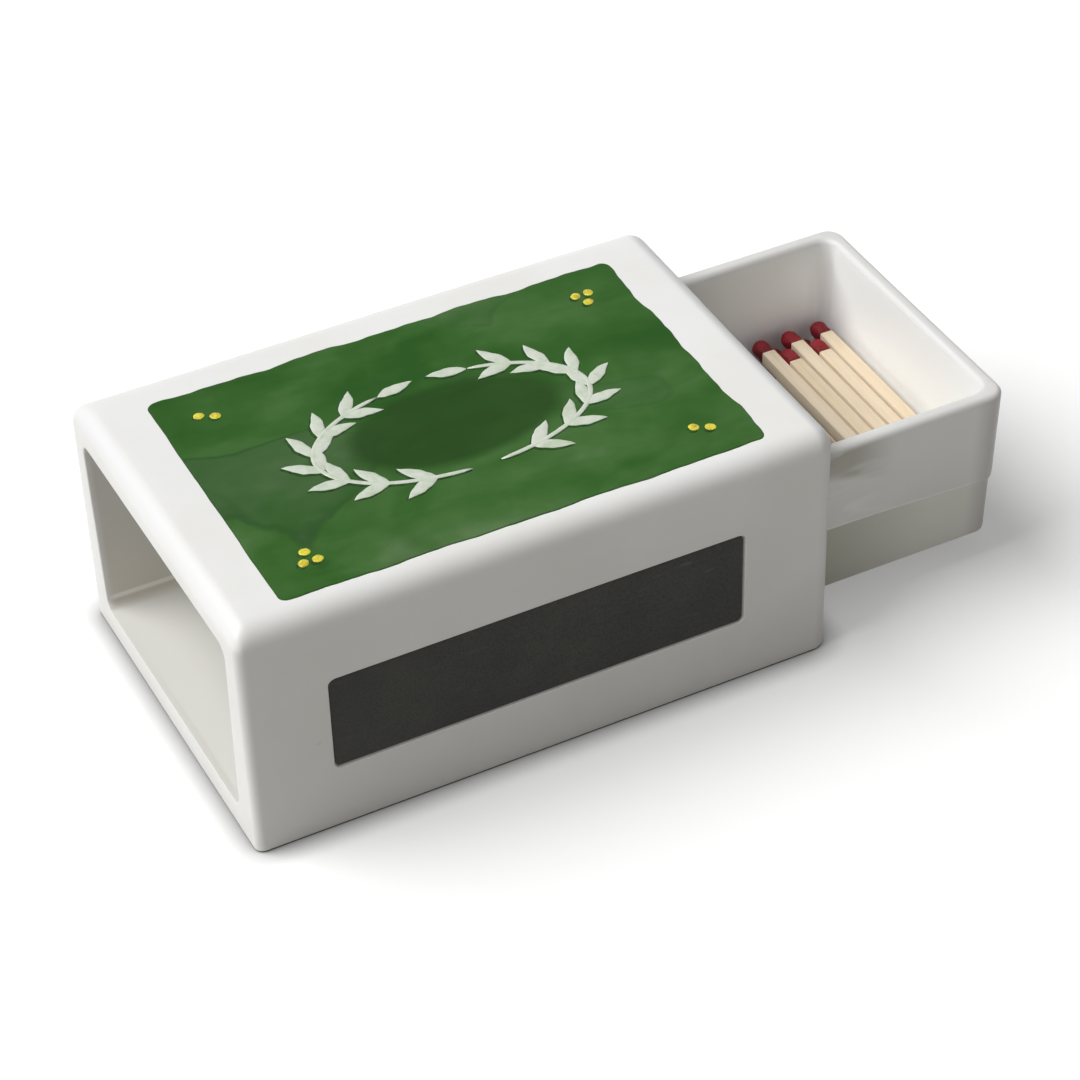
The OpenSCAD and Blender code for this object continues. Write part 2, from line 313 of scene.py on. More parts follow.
front = sleeve_grid[: skin_x.size]
on_front = front[..., 1] < -sleeve_half[0] + 2 * uneven
front[..., 1] += np.where(on_front, recess(front), 0)
sleeve = skin("porcelain_sleeve", [sleeve_grid], closed=True)

# The floor's lip has the tunnel's painted shade right up to the end face, darkening the light its
# round would catch.
floor_band = 0.0005
in_mouth = sleeve_end - np.abs(row_x)[:, None] > 0.00001
on_floor = (sleeve_grid[..., 2] < floor_wall + floor_band) & in_mouth
on_floor[: tunnel_rows.start] = False
on_floor[tunnel_rows.stop :] = False
mark_inside(sleeve, np.where(on_floor, 1, along_rows(0.0)[:, None]).ravel())


class Shade:
    """A socket among a finish's nodes. Arithmetic on it adds Math nodes, so that a finish can be
    written as a formula."""

    def __init__(self, tree, socket=None):
        self.tree = tree
        self.socket = socket

    def node(self, kind, settings={}, inputs={}, out=0):
        """Adds one node: its settings come first, then the values or links of its sockets."""
        made = self.tree.nodes.new(kind)
        for name, value in settings.items():
            if name == "stops":
                for place, colour in value[1:-1]:
                    made.color_ramp.elements.new(place)
                for element, (place, colour) in zip(made.color_ramp.elements, value):
                    element.position = place
                    element.color = colour
            else:
                setattr(made, name, value)
        for name, value in inputs.items():
            if isinstance(value, Shade):
                self.tree.links.new(value.socket, made.inputs[name])
            else:
                made.inputs[name].default_value = value
        return Shade(self.tree, made.outputs[out])

    def maths(self, operation, *values):
        """Adds one Math node."""
        return self.node("ShaderNodeMath", {"operation": operation}, dict(enumerate(values)))

    def __add__(self, other):
        return self.maths("ADD", self, other)

    def __sub__(self, other):
        return self.maths("SUBTRACT", self, other)

    def __rsub__(self, other):
        return self.maths("SUBTRACT", other, self)

    def __mul__(self, other):
        return self.maths("MULTIPLY", self, other)

    def __truediv__(self, other):
        return self.maths("DIVIDE", self, other)

    def __abs__(self):
        return self.maths("ABSOLUTE", self)

    __radd__ = __add__
    __rmul__ = __mul__


def finish(name, roughness, **constants):
    """A new material with its own surface shader, and the start of its nodes: the piece's own
    coordinates as one vector, and as x, y and z. Constants are sockets of the shader."""
    material = bpy.data.materials.new(name)
    material.use_nodes = True
    surface = material.node_tree.nodes["Principled BSDF"]
    surface.inputs["Roughness"].default_value = roughness
    for socket, value in constants.items():
        surface.inputs[socket.replace("_", " ")].default_value = value
    start = Shade(material.node_tree)
    place = start.node("ShaderNodeTexCoord", out="Object")
    axes = [start.node("ShaderNodeSeparateXYZ", {}, {0: place}, out=k) for k in range(3)]
    return material, surface, place, axes


def feed(surface, **sockets):
    """Links values that change over the surface to sockets of its shader."""
    for name, value in sockets.items():
        value.tree.links.new(value.socket, surface.inputs[name.replace("_", " ")])


def fade(value, low, high):
    """Rises smoothly from 0 at low to 1 at high, or falls where low is the greater."""
    ends = {"Value": value, "From Min": low, "From Max": high}
    return value.node("ShaderNodeMapRange", {"interpolation_type": "SMOOTHSTEP"}, ends)


def tint(mask, under, over):
    """The under colour, and the over colour where the mask is 1."""
    return mask.node("ShaderNodeMix", {"data_type": "RGBA"}, {0: mask, 6: under, 7: over}, out=2)


def cloud(place, scale, detail=2.0, distortion=0.0, stretch=(1, 1, 1)):
    """Noise from about 0 to 1, with features about a scale's inverse of a metre across."""
    factors = {0: place, 1: stretch}
    stretched = place.node("ShaderNodeVectorMath", {"operation": "MULTIPLY"}, factors)
    sizes = {"Vector": stretched, "Scale": scale, "Detail": detail, "Distortion": distortion}
    return place.node("ShaderNodeTexNoise", {}, sizes)


def relief(height, depth):
    """A Bump node whose full height is so many metres."""
    return height.node("ShaderNodeBump", {}, {"Strength": 1.0, "Distance": depth, "Height": height})


glaze_white = (0.862, 0.86, 0.848, 1)
glaze_thin = (0.822, 0.816, 0.793, 1)
# Painted shade: the tunnel's inside, darker and warmer than the glaze.
tunnel_painted_shade = (0.68, 0.672, 0.635, 1)
# Painted light: the tray's inside, whiter than the glaze.
tray_painted_light = (0.955, 0.965, 0.965, 1)
# Painted shade for the edges at the ends of the top.
edge_painted_shade = (0.765, 0.77, 0.772, 1)
bare_clay = (0.78, 0.75, 0.69, 1)
pinhole = (0.34, 0.31, 0.27, 1)
peel_depth = 0.00006


def glazed(name, foot, inner):
    """Soft white glaze: thick and thin by turns in slow clouds, with a faint orange peel and a
    few pinholes, wiped off the foot where it would stick to the kiln's shelf. Inside the piece
    it has its inner colour: painted shade in the sleeve's tunnel, painted light in the drawer's
    tray. Its caller adds its own tints and feeds the colour."""
    material, surface, place, (x, y, z) = finish(name, 0.34, Coat_Weight=0.15, Coat_Roughness=0.25)
    surface.inputs["Specular IOR Level"].default_value = 0.32
    pooled = cloud(place, 38, 3.0)
    cells = {"Vector": place, "Scale": 95.0}
    specks = place.node("ShaderNodeTexVoronoi", {}, cells, out="Distance")
    rare = fade(cloud(place, 60, 1.0), 0.6, 0.68)
    holes = fade(specks, 0.035, 0.015) * rare
    wiped = fade(z, foot + 0.0005, foot + 0.0002)
    inside = place.node("ShaderNodeAttribute", {"attribute_name": "inside"}, out="Fac")
    colour = tint(fade(pooled, 0.35, 0.7), glaze_white, glaze_thin)
    colour = tint(inside, colour, inner)
    colour = tint(holes * 0.5, colour, pinhole)
    colour = tint(wiped, colour, bare_clay)
    dull = 0.32 + 0.12 * pooled + 0.4 * wiped
    peel = cloud(place, 330, 1.0) * 0.35 + cloud(place, 120, 1.0) - holes * 0.5
    feed(surface, Roughness=dull, Normal=relief(peel, peel_depth))
    return material, surface, place, (x, y, z), inside, colour


# Painted shade makes the tunnel's far wall warmer and darker towards its foot, under a thin
# painted highlight line along its fillet. Painted shade greys the edges at the ends of the
# top, and one speck of kiln dust is in front.
wall_painted_shade = (0.66, 0.6, 0.52, 1)
wall_foot_painted_shade = (0.6, 0.54, 0.46, 1)
wall_painted_highlight = (0.97, 0.95, 0.9, 1)
line_z = 0.0072
dust_brown = (0.6, 0.57, 0.5, 1)
dust_at = (-0.0414, -0.0355, 0.0195)

sleeve_glaze, surface, place, (x, y, z), within, colour = glazed(
    "sleeve_glaze", 0.0, tunnel_painted_shade
)
at_wall = fade(y, 0.027, 0.029) * within
# Painted shade darkens the far wall towards its foot, under a painted highlight line.
colour = tint(fade(z, 0.034, 0.009) * at_wall * 0.4, colour, wall_painted_shade)
colour = tint(fade(abs(z - line_z), 0.0007, 0.0002) * at_wall * 0.8, colour, wall_painted_highlight)
colour = tint(fade(z, line_z - 0.0004, line_z - 0.001) * at_wall * 0.6, colour, wall_foot_painted_shade)
to_dust = {0: place, 1: dust_at}
dust = place.node("ShaderNodeVectorMath", {"operation": "DISTANCE"}, to_dust, out=1)
colour = tint(fade(dust, 0.0006, 0.0002) * 0.3, colour, dust_brown)
# Painted shade greys the top's end edges, toning down their light.
over_edge = abs(x) + z - (sleeve_end + 2 * sleeve_half[1] - end_top_edge)
colour = tint(fade(over_edge, -0.0004, 0.0012), colour, edge_painted_shade)
feed(surface, Base_Color=colour)
sleeve.data.materials.append(sleeve_glaze)
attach(sleeve, "sleeve_body")
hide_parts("sleeve")

# The striking strip is grit on a paper backing, cut out and stuck in the recess. It follows
# the wall behind it, matches have left faint scratches along it, and its grit has painted glints.
strip_corner = 0.001
strip_tightest = 0.0002
strip_round = 0.00012
strip_margin = 0.001
strip_core = 0.0088
strip_thick = strip_high.y - strip_low.y

strip_trip = round_trip(even_shares(60, 18, 60, 18), 6)
curl = np.linspace(0, np.pi / 2, 4)
drawn_in = np.concatenate([
    np.linspace(strip_core, strip_margin, 6),
    strip_round * (1 - np.sin(curl)),
    (0, strip_margin, strip_core),
])
behind_face = np.concatenate([
    np.zeros(6),
    strip_round * (1 - np.cos(curl)),
    np.full(3, strip_thick),
])
strip_flat = loops(
    strip_trip,
    strip_half - drawn_in[:, None],
    np.tile(strip_middle, (drawn_in.size, 1)),
    np.tile(np.maximum(strip_corner - drawn_in, strip_tightest)[:, None], (1, 4)),
)
wall_y = np.full(strip_flat.shape[:2], -sleeve_half[0])
on_wall = np.stack([strip_flat[..., 0], wall_y, strip_flat[..., 1]], -1)
strip_y = strip_low.y + sunk(on_wall) + behind_face[:, None]
strip = skin("grit_strip", [np.stack([strip_flat[..., 0], strip_y, strip_flat[..., 1]], -1)])

strip_dark = (0.066, 0.066, 0.062, 1)
strip_pale = (0.082, 0.082, 0.076, 1)
between_grit = (0.034, 0.034, 0.033, 1)
scratch_and_glint_grey = (0.19, 0.19, 0.18, 1)

grit_black, surface, place, (x, y, z) = finish("grit_black", 0.85, Specular_IOR_Level=0.3)
grit = cloud(place, 3600, 2.0)
patchy = cloud(place, 90, 3.0)
scratch = cloud(place, 420, 3.0, 0.4, (0.3, 1, 1.9))
near_end = fade(x, 0.0, 0.034) * fade(z, 0.018, 0.03)
rubbed = fade(scratch, 0.62, 0.72) * (0.15 + 0.85 * near_end)
glints = fade(cloud(place, 5200, 1.0), 0.68, 0.78)
colour = tint(fade(patchy, 0.3, 0.75), strip_dark, strip_pale)
colour = tint(fade(grit, 0.35, 0.7) * 0.5, colour, between_grit)
# Scratches, and painted glints of the grit, in one grey.
colour = tint(rubbed * 0.35 + glints * 0.25, colour, scratch_and_glint_grey)
dull = 0.9 - rubbed * 0.25
feed(surface, Base_Color=colour, Roughness=dull, Normal=relief(grit + patchy * 0.4, 0.00009))
strip.data.materials.append(grit_black)
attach(strip, "sleeve_body")
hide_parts("striking_strip")

# The painted ground is green enamel, washed on by hand inside a masked border. It is thin and
# lies on the sleeve's top, darker where it pooled at its edge and in the middle.
ground_middle, ground_half = plane_box(*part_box("painted_ground"), "xy")
ground_corner = 0.0016
ground_waver = 0.0005
ground_thick = 0.00012
ground_deep = 0.001
top_z = 2 * sleeve_half[1]


def on_top(flat, lift):
    """Points of the sleeve's top, lifted off its glaze."""
    level = np.full(flat.shape[:-1] + (1,), top_z)
    points = np.concatenate([flat, level], -1)
    points[..., 2] += lift - sunk(points)
    return points


ground_trip = round_trip(even_shares(210, 140, 210, 140), 14)
edge = loops(
    ground_trip,
    ground_half[None] - ground_waver,
    ground_middle[None],
    np.full((1, 4), ground_corner),
)[0]
heading = np.stack([np.cos(ground_trip[3]), np.sin(ground_trip[3])], -1)
walked = np.cumsum(np.linalg.norm(edge - np.roll(edge, 1, 0), axis=-1))
laps = 2 * np.pi * walked / walked[-1]
waves = ((11, 0.5, 0.4), (19, 2.6, 0.33), (37, 1.2, 0.19), (83, 3.3, 0.08))
waver = sum(share * np.sin(count * laps + start) for count, start, share in waves)
steady = 1 - 0.8 * np.clip(-heading[:, 0], 0, 1) - 0.45 * np.clip(-heading[:, 1], 0, 1)
edge = edge + heading * ground_waver * (steady * waver)[:, None]
inward = np.array((0, 0.00004, 0.00012, 0.0003, 0.0006, ground_deep))
near_edge = edge - heading * inward[:, None, None]
shrink = np.array((0.95, 0.86, 0.74, 0.6, 0.45, 0.3, 0.15, 0.04))
far_in = ground_middle + shrink[:, None, None] * (edge - ground_middle)
ground_flat = np.concatenate([far_in[::-1], near_edge[::-1], near_edge[1:3], far_in])
settle = np.array((0.05, 0.55, 0.9, 1, 1, 1))
behind = np.full(2 + shrink.size, -0.15)
ground_lift = ground_thick * np.concatenate([np.ones(shrink.size), settle[::-1], behind])
ground = skin("green_ground", [on_top(ground_flat, ground_lift[:, None])])
deep_in = np.full(shrink.size, ground_deep)
edge_distance = np.concatenate([deep_in, inward[::-1], inward[1:3], deep_in])
inset = ground.data.attributes.new("inset", "FLOAT", "POINT")
inset_values = np.append(np.repeat(edge_distance, edge.shape[0]), (ground_deep, ground_deep))
inset.data.foreach_set("value", inset_values.astype(np.float32))

wreath_half = np.array((0.025, 0.013))
wreath_middle = ground_middle[1]

green_wash, surface, place, (x, y, z) = finish("green_wash", 0.42, Specular_IOR_Level=0.08)
from_edge = place.node("ShaderNodeAttribute", {"attribute_name": "inset"}, out="Fac")
blotch = cloud(place, 34, 3.0, 0.4)
brushed = cloud(place, 130, 4.0, 0.5, (0.35, 1, 1))
mottle = cloud(place, 420, 3.0)
slope = (x * 0.3 - (y - wreath_middle) * 0.95) / 0.045
tone = 0.5 + 0.23 * slope + 2.4 * (blotch - 0.5) + (brushed - 0.5) + 0.2 * (mottle - 0.5)
puddle_green = (0.042, 0.09, 0.034, 1)
tide_green = (0.016, 0.06, 0.012, 1)
halo_green = (0.02, 0.085, 0.009, 1)
pool_green = (0.013, 0.052, 0.005, 1)
edge_green = (0.018, 0.05, 0.012, 1)
greens = (
    (0.0, (0.016, 0.082, 0.008, 1)),
    (0.35, (0.033, 0.112, 0.018, 1)),
    (0.65, (0.057, 0.143, 0.037, 1)),
    (1.0, (0.11, 0.195, 0.08, 1)),
)
colour = tone.node("ShaderNodeValToRGB", {"stops": greens}, {0: tone})
puddle = cloud(place, 30, 2.0, 0.6) + 0.03 * cloud(place, 260, 2.0)
left_part = fade(x, -0.004, -0.024)
tide = fade(puddle, 0.585, 0.572) * fade(puddle, 0.56, 0.57)
settled = 0.35 + 0.65 * left_part
colour = tint(fade(puddle, 0.565, 0.572) * settled * 0.5, colour, puddle_green)
colour = tint(tide * settled * 0.5, colour, tide_green)
halo = cloud(place, 62, 2.0, 0.3)
colour = tint(fade(halo, 0.5, 0.66) * 0.5, colour, halo_green)
across = (y - wreath_middle) / wreath_half[1]
along = x / wreath_half[0]
oval = place.maths("SQRT", along * along + across * across) + 0.2 * (blotch - 0.5)
pool = fade(oval, 0.88, 0.68) * (0.88 + 0.8 * (brushed - 0.5))
colour = tint(pool, colour, pool_green)
at_edge = fade(from_edge, 0.00032, 0.00006) * (0.25 + 0.7 * blotch)
colour = tint(at_edge, colour, edge_green)
dull = 0.36 + 0.14 * brushed
feed(surface, Base_Color=colour, Roughness=dull, Normal=relief(brushed + mottle * 0.4, 0.00004))
ground.data.materials.append(green_wash)
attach(ground, "sleeve_body")
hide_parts("painted_ground")

# The garland is off-white enamel, put on in strokes of a pointed brush: two stems that follow
# an oval, with leaves in pairs. Each stroke has a dark green one beside and under it.
stem_width = 0.0009
leaf_length = 0.0072
leaf_width = 0.0024
leaf_pairs = 7
first_turn, last_turn, first_pair = np.radians((-84, 70, -70))
spread = np.radians(34)
stroke_rows = 40
stroke_around = 14


def oval_point(turn):
    """A point on the oval, counted from its right end."""
    x, y = wreath_half[0] * np.cos(turn), wreath_middle + wreath_half[1] * np.sin(turn)
    return np.stack([x, y], -1)


def oval_heading(turn):
    """The direction of the oval's line at a point."""
    return np.arctan2(wreath_half[1] * np.cos(turn), -wreath_half[0] * np.sin(turn))


def stroke(line, half_width, lift, thick, seed):
    """A brush stroke along a flat line: its section is a low ellipse, whose width follows the
    pressure of the brush and wavers a little on each side, and closes to a point at both ends."""
    ahead = np.gradient(line, axis=0)
    ahead /= np.linalg.norm(ahead, axis=1, keepdims=True)
    side = np.stack([-ahead[:, 1], ahead[:, 0]], -1)
    t = np.linspace(0, 1, len(line))
    angle = np.linspace(0, 2 * np.pi, stroke_around, endpoint=False)
    shake = 0.07 * np.sin(9 * t + 1.7 * seed) + 0.04 * np.sin(19 * t + 2.9 * seed)
    lean = 1 + shake[:, None] * np.sign(np.cos(angle)) * np.abs(np.cos(angle))
    flat = line[:, None] + (half_width[:, None] * lean * np.cos(angle))[..., None] * side[:, None]
    swell = np.sqrt(half_width / half_width.max())[:, None]
    return on_top(flat, lift + thick * swell * np.sin(angle))


def garland(shift, wider, lift, thick):
    """All the strokes of both branches. The left branch is the right one's mirror image."""
    t = np.linspace(0, 1, stroke_rows)
    blunt = np.sqrt(np.sin(np.pi * np.clip(t, 0.004, 0.996)))
    stems = oval_point(first_turn + (last_turn - first_turn) * t)
    lines = [(stems, stem_width / 2 * np.minimum(1, 3 * blunt))]
    turns = first_pair + np.arange(leaf_pairs) * (last_turn - first_pair) / leaf_pairs
    bases = [(turn, side) for turn in turns for side in (-1, 1)] + [(last_turn, 0)]
    for turn, side in bases:
        heading = oval_heading(turn) + side * spread
        bend = heading + 0.35 * side * (t - 0.5)
        steps = np.stack([np.cos(bend), np.sin(bend)], -1) * leaf_length / (stroke_rows - 1)
        line = oval_point(turn) + np.cumsum(steps, 0)
        belly = leaf_width / 2 * np.sin(np.pi * np.clip(t, 0.004, 0.996) ** 0.85) ** 0.9
        lines.append((line, np.maximum(belly, 0.00002)))
    strokes = []
    for seed, (line, half_width) in enumerate(lines):
        for mirror in (1, -1):
            placed = line * (mirror, 1) + shift
            strokes.append(stroke(placed, half_width + wider, lift, thick, 2 * seed + mirror))
    return strokes


shade_shift = np.array((-0.0004, -0.0003))
shade_thick = 0.00003
shade_dark = (0.014, 0.045, 0.01, 1)
shade_worn = (0.035, 0.1, 0.022, 1)
shade = skin("garland_shade", garland(shade_shift, 0.0001, ground_thick, shade_thick))
shade_green, surface, place = finish("shade_green", 0.42, Specular_IOR_Level=0.08)[:3]
worn = cloud(place, 700, 3.0)
colour = tint(fade(worn, 0.3, 0.75), shade_dark, shade_worn)
feed(surface, Base_Color=colour, Normal=relief(worn, 0.00003))
shade.data.materials.append(shade_green)
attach(shade, "sleeve_body")

stroke_white = (0.64, 0.69, 0.59, 1)
stroke_thin = (0.53, 0.6, 0.48, 1)
stroke_green = (0.36, 0.47, 0.27, 1)
stroke_thick = 0.00011
on_shade = ground_thick + shade_thick
leaves = skin("garland_strokes", garland(np.zeros(2), 0.0, on_shade, stroke_thick))
white_stroke, surface, place = finish("white_stroke", 0.38, Coat_Weight=0.1)[:3]
streaks = cloud(place, 650, 3.0, 0.3)
wash = cloud(place, 170, 2.0)
colour = tint(fade(streaks, 0.35, 0.75), stroke_white, stroke_thin)
colour = tint(fade(wash, 0.56, 0.7) * 0.4, colour, stroke_green)
feed(surface, Base_Color=colour, Roughness=0.34 + 0.12 * streaks, Normal=relief(streaks, 0.00005))
leaves.data.materials.append(white_stroke)
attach(leaves, "sleeve_body")
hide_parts("painted_garland")

# The berries are dabs of yellow enamel in the corners, each with a dark touch at its lower
# left, set down with the tip of the brush in threes and twos.
berry_half = 0.001
berry_inset = 0.0075
berry_apart = 2.5 * berry_half


def berry_places():
    """Middles of the dabs: threes in two opposite corners of the ground, twos in the others."""
    corner = ground_half - berry_inset
    threes = corner - berry_apart * np.array(((0, 0), (1, 0), (0.5, 1)))
    twos = corner - berry_apart * np.array(((0, 0), (1, 0.5)))
    places = [np.vstack([threes * side, twos * (-side, side)]) for side in (-1, 1)]
    return ground_middle * (0, 1) + np.concatenate(places)


def dabs(shift, grow, lift, thick):
    """A low dome for each berry: its height falls from the middle as a quarter circle does, and
    its outline is a circle with two slow waves in it."""
    angle = np.linspace(0, 2 * np.pi, 30, endpoint=False)
    climb = np.linspace(-np.pi / 2, np.pi / 2, 15)[1:-1]
    made = []
    for seed, middle in enumerate(berry_places() + shift):
        wavy = 0.93 + 0.05 * np.sin(2 * angle + seed) + 0.02 * np.sin(5 * angle + 2 * seed)
        outline = berry_half * grow * wavy
        spoke = np.stack([np.cos(angle), np.sin(angle)], -1) * outline[:, None]
        flat = middle + np.cos(climb)[:, None, None] * spoke
        made.append(on_top(flat, lift + thick * np.sin(climb)[:, None]))
    return made


touch_shift = np.array((-0.00055, -0.00045))
berry_shade = skin("berry_shade", dabs(touch_shift, 0.95, ground_thick, shade_thick))
berry_shade.data.materials.append(shade_green)
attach(berry_shade, "sleeve_body")

dab_yellow = (0.76, 0.69, 0.035, 1)
dab_ochre = (0.5, 0.36, 0.02, 1)
dab_brown = (0.16, 0.13, 0.02, 1)
on_touch = ground_thick + 0.00004
berries = skin("berry_dots", dabs(np.zeros(2), 1.0, on_touch, 0.00014))
berry_yellow, surface, place = finish("berry_yellow", 0.36, Coat_Weight=0.1)[:3]
dabbed = cloud(place, 900, 3.0, 0.5)
colour = tint(fade(dabbed, 0.4, 0.66), dab_yellow, dab_ochre)
colour = tint(fade(dabbed, 0.68, 0.74), colour, dab_brown)
feed(surface, Base_Color=colour, Normal=relief(dabbed, 0.00006))
berries.data.materials.append(berry_yellow)
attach(berries, "sleeve_body")
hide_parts("painted_berries")

# The drawer is a second slip-cast piece, glazed like the sleeve. Its walls lean, its rim is
# soft, and a step runs round the outside where the two halves of its mould met.
drawer_low, drawer_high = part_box("drawer")
drawer_middle, drawer_half = plane_box(drawer_low, drawer_high, "xy")
drawer_foot = drawer_low.z
drawer_tall = drawer_high.z - drawer_low.z
lean = np.tan(np.radians(2))
rim_thick = 0.0031
tray_floor = 0.0038
drawer_corner = 0.0034
tray_corner = 0.0018
rim_round = 0.0012
foot_round = 0.0018
tray_fillet = 0.0015
step_height = 0.013
step_depth = 0.0004
step_swing = 0.0012
swing_from = 0.055
swing_wave = 0.021
step_spread = 0.006
drawer_uneven = 0.0002


def arc(middle_inset, middle_height, radius, start, end, count):
    """Points of a quarter round in the wall's section, as inset from the outside and height."""
    angle = np.radians(np.linspace(start, end, count))
    inset = middle_inset - radius * np.cos(angle)
    return np.stack([inset, middle_height + radius * np.sin(angle)], -1)


# The wall's section, as inset from the rim's outline and height over the foot: under the foot
# from the middle outwards, up the outside, over the rim and down to the tray's floor.
wall_top = drawer_tall - rim_round
foot_inset = step_depth + (drawer_tall - foot_round) * lean
step_inset = (drawer_tall - step_height) * lean
tray_inset = rim_thick + (drawer_tall - tray_floor) * lean
fillet_inset = rim_thick + (drawer_tall - tray_floor - tray_fillet) * lean
innermost = 0.028
tray_rows = np.linspace(tray_inset + tray_fillet + 0.001, innermost, 8)
step_rows = ((1, -0.0001), (0.6, 0.0001), (0.15, 0.0003), (0, 0.0006))
under_step = (step_inset + step_depth, step_height - 0.0004)
over_step = (step_inset - 0.0001, step_height + 0.0015)
tray_top = (rim_thick + 0.0001, wall_top - 0.002)
outside = np.concatenate([
    np.stack([np.linspace(innermost, foot_inset + foot_round, 6)[:-1], np.zeros(5)], -1),
    arc(foot_inset + foot_round, foot_round, foot_round, -90, 0, 8),
    np.linspace((foot_inset - 0.0001, foot_round + 0.002), under_step, 6),
    [(step_inset + share * step_depth, step_height + over) for share, over in step_rows],
    np.linspace(over_step, (rim_round * lean, wall_top - 0.0008), 10),
    arc(rim_round, wall_top, rim_round, 0, 90, 9),
])
inside = np.concatenate([
    [(rim_thick / 2, drawer_tall)],
    arc(rim_thick - rim_round, wall_top, rim_round, 90, 180, 9),
    np.linspace(tray_top, (fillet_inset, tray_floor + tray_fillet + 0.0008), 12),
    arc(fillet_inset + tray_fillet, tray_floor + tray_fillet, tray_fillet, 0, -90, 9),
    np.stack([tray_rows, np.full(8, tray_floor)], -1),
])
drawer_trip = round_trip(even_shares(56, 34, 56, 34), 10)


def drawer_loops(profile, outline_half, corner):
    """Loops of the drawer at each inset and height of a section, in the XY plane."""
    inset, rise = profile[:, :1], profile[:, 1:]
    flat = loops(
        drawer_trip,
        outline_half - inset,
        np.tile(drawer_middle, (len(profile), 1)),
        np.tile(np.maximum(corner - inset, tightest), (1, 4)),
    )
    level = np.broadcast_to(drawer_foot + rise[..., None], flat.shape[:2] + (1,))
    return np.concatenate([flat, level], -1)


tray_edge = tray_corner + tray_inset
drawer_grid = np.concatenate([
    drawer_loops(outside, drawer_half, drawer_corner),
    drawer_loops(inside, drawer_half, tray_edge),
])

# The mould's step rises and falls a little round the drawer, and the walls are uneven.
step_row = drawer_grid[..., 2] - drawer_foot
outer_rows = np.arange(len(drawer_grid)) < len(outside)
near_step = np.exp(-(((step_row - step_height) / step_spread) ** 2)) * outer_rows[:, None]
swing = step_swing * np.cos((drawer_grid[..., 0] - swing_from) / swing_wave)
worked = 0.5 + 0.5 * handwork(drawer_grid + 0.05)
walls = outward(drawer_grid, False) * drawer_uneven * worked[..., None]
lifted = np.clip(step_row / 0.004, 0, 1)
drawer_grid[..., 2] += near_step * swing
drawer_grid -= walls * lifted[..., None]
drawer = skin("porcelain_drawer", [drawer_grid])
drawer_rows = np.repeat(np.where(outer_rows, 0.0, 1.0), drawer_grid.shape[1])
mark_inside(drawer, np.append(drawer_rows, (0, 1)))

# Under the step the colour is darker and olive, with a painted highlight along the step. On the
# front, near the sleeve's edge, are a darker brown patch and paler streaks, and painted shade
# darkens the lower band there, the end's corners and the rim.
low_band_olive = (0.82, 0.815, 0.75, 1)
olive_painted_shade = (0.45, 0.44, 0.36, 1)
step_painted_highlight = (1, 1, 0.99, 1)
sleeve_patch_brown = (0.42, 0.4, 0.33, 1)
pale_streak_white = (1, 1, 1, 1)
end_painted_shade = (0.53, 0.52, 0.5, 1)
rim_painted_shade = (0.71, 0.705, 0.69, 1)
step_soft = 0.0003
rim_z = drawer_foot + drawer_tall

# Inside the tray the glaze is painted lighter, standing in for bounced light.
drawer_glaze, surface, place, (x, y, z), within, colour = glazed(
    "drawer_glaze", drawer_foot, tray_painted_light
)
outer = 1 - within
front_face = fade(y, -0.015, -0.02) * outer
step_wave = step_swing * x.maths("COSINE", (x - swing_from) / swing_wave)
over_seam = z - (drawer_foot + step_height) - step_wave
below = fade(over_seam, step_soft, -step_soft)
at_seam = fade(abs(over_seam - step_soft), 0.00045, 0.00015)
# Darker and olive under the step, and a painted highlight along the step.
colour = tint(below * outer * 0.8, colour, low_band_olive)
colour = tint(at_seam * outer * 0.9, colour, step_painted_highlight)
near_sleeve = fade(x, 0.072, 0.061) * fade(x, 0.046, 0.054) * front_face
streaked = fade(cloud(place, 120, 2.0, 1.0, (0.6, 1, 1.7)), 0.4, 0.6)
# A darker brown patch under the rim and paler streaks below it, near the sleeve's edge.
brown_patch = fade(abs(z - 0.0352 + 0.3 * (x - 0.06)), 0.0055, 0.003) * near_sleeve
colour = tint(brown_patch * (0.55 + 0.45 * streaked) * 0.85, colour, sleeve_patch_brown)
pale_streak = fade(abs(z - 0.0255 + 0.35 * (x - 0.059)), 0.0045, 0.001) * near_sleeve
colour = tint(pale_streak * streaked * 0.45, colour, pale_streak_white)
# Painted shade: the lower band darkens where the sleeve's end shades it.
shaded = fade(x, 0.082, 0.057) * fade(x, -0.02, 0.052) * front_face
colour = tint(below * shaded * 0.75, colour, olive_painted_shade)
# Painted shade on the end's corners, turned away from the light.
colour = tint(fade(x, 0.086, 0.0915) * outer * 0.85, colour, end_painted_shade)
# Painted shade greys the rim, toning down the light its round catches.
colour = tint(fade(z, rim_z - 0.0014, rim_z - 0.0003) * 0.95, colour, rim_painted_shade)
feed(surface, Base_Color=colour)
drawer.data.materials.append(drawer_glaze)
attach(drawer, "drawer_body")
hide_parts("drawer")

# The match sticks are sawn square from pale soft wood, and no two are quite alike. They lie
# across the drawer in layers against its outer end.
stick_edge = 0.00016
stick_swell = 1.13
stick_blunt = 0.00006
dip = 0.0026
wood_pale = (0.79, 0.67, 0.52, 1)
wood_warm = (0.74, 0.61, 0.43, 1)
wood_band = (0.68, 0.54, 0.36, 1)
wood_fibre = (0.57, 0.43, 0.27, 1)
stick_trip = round_trip(even_shares(4, 4, 4, 4), 2)
match_wood, surface, place = finish("match_wood", 0.62, Specular_IOR_Level=0.35)[:3]
each = cloud(place, 330, 0.0, 0.0, (1, 0.02, 1))
fibre = cloud(place, 2600, 3.0, 0.3, (1, 0.03, 1))
broad = cloud(place, 900, 2.0, 0.4, (1, 0.05, 1))
colour = tint(fade(each, 0.3, 0.7), wood_pale, wood_warm)
colour = tint(fade(broad, 0.4, 0.75) * 0.35, colour, wood_band)
